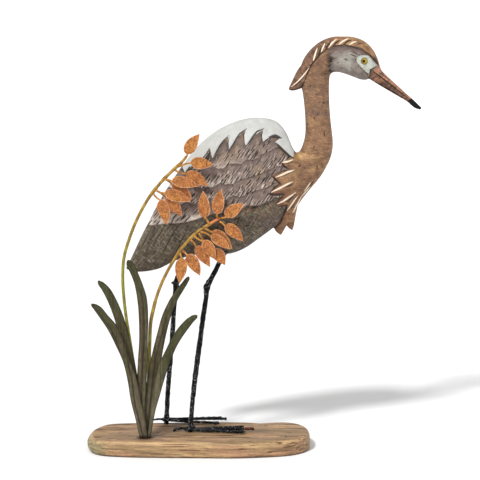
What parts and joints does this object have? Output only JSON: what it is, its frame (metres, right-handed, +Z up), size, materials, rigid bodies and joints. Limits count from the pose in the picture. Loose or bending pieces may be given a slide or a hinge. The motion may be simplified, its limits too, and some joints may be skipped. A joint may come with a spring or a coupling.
{
  "type": "heron decoy",
  "caption": "Carved and painted wooden heron standing on black metal legs beside a tuft of metal grass and leafy sprays, on a wooden board.",
  "frame": {"origin": "middle of the board's flat underside, on the surface it stands on", "axes": "+Z up; +X the way the heron faces, along the board; -Y toward the grass, at the heron's right side"},
  "size_m": [0.4025, 0.105, 0.4969],
  "materials": {
    "board_wood": "sanded, lightly oiled softwood",
    "painted_wood": "carved wood, matt paint rubbed back",
    "eye_glass": "glossy, yellow iris behind clear glass",
    "black_metal": "hammered, glossy black",
    "green_metal": "satin dark olive with brown middles",
    "ochre_metal": "satin ochre and yellow-green",
    "orange_metal": "satin coppery orange with dark specks"
  },
  "bodies": {
    "root": {"board": "board_wood", "heron": "painted_wood", "right_eye": "eye_glass", "left_eye": "eye_glass", "right_leg": "black_metal", "left_leg": "black_metal", "grass_blade_outer_left": "green_metal", "grass_blade_inner_left": "green_metal", "grass_blade_centre": "green_metal", "grass_blade_inner_right": "green_metal", "grass_blade_outer_right": "green_metal", "tall_stem": "ochre_metal", "low_stem": "ochre_metal", "tall_stem_leaf_1": "orange_metal", "tall_stem_leaf_2": "orange_metal", "tall_stem_leaf_3": "orange_metal", "tall_stem_leaf_4": "orange_metal", "tall_stem_leaf_5": "orange_metal", "tall_stem_leaf_6": "orange_metal", "tall_stem_leaf_7": "orange_metal", "tall_stem_leaf_8": "orange_metal", "low_stem_leaf_1": "orange_metal", "low_stem_leaf_2": "orange_metal", "low_stem_leaf_3": "orange_metal", "low_stem_leaf_4": "orange_metal", "low_stem_leaf_5": "orange_metal", "low_stem_leaf_6": "orange_metal", "low_stem_leaf_7": "orange_metal", "low_stem_leaf_8": "orange_metal", "low_stem_leaf_9": "orange_metal", "low_stem_leaf_10": "orange_metal", "low_stem_leaf_11": "orange_metal"}
  },
  "joints": []
}
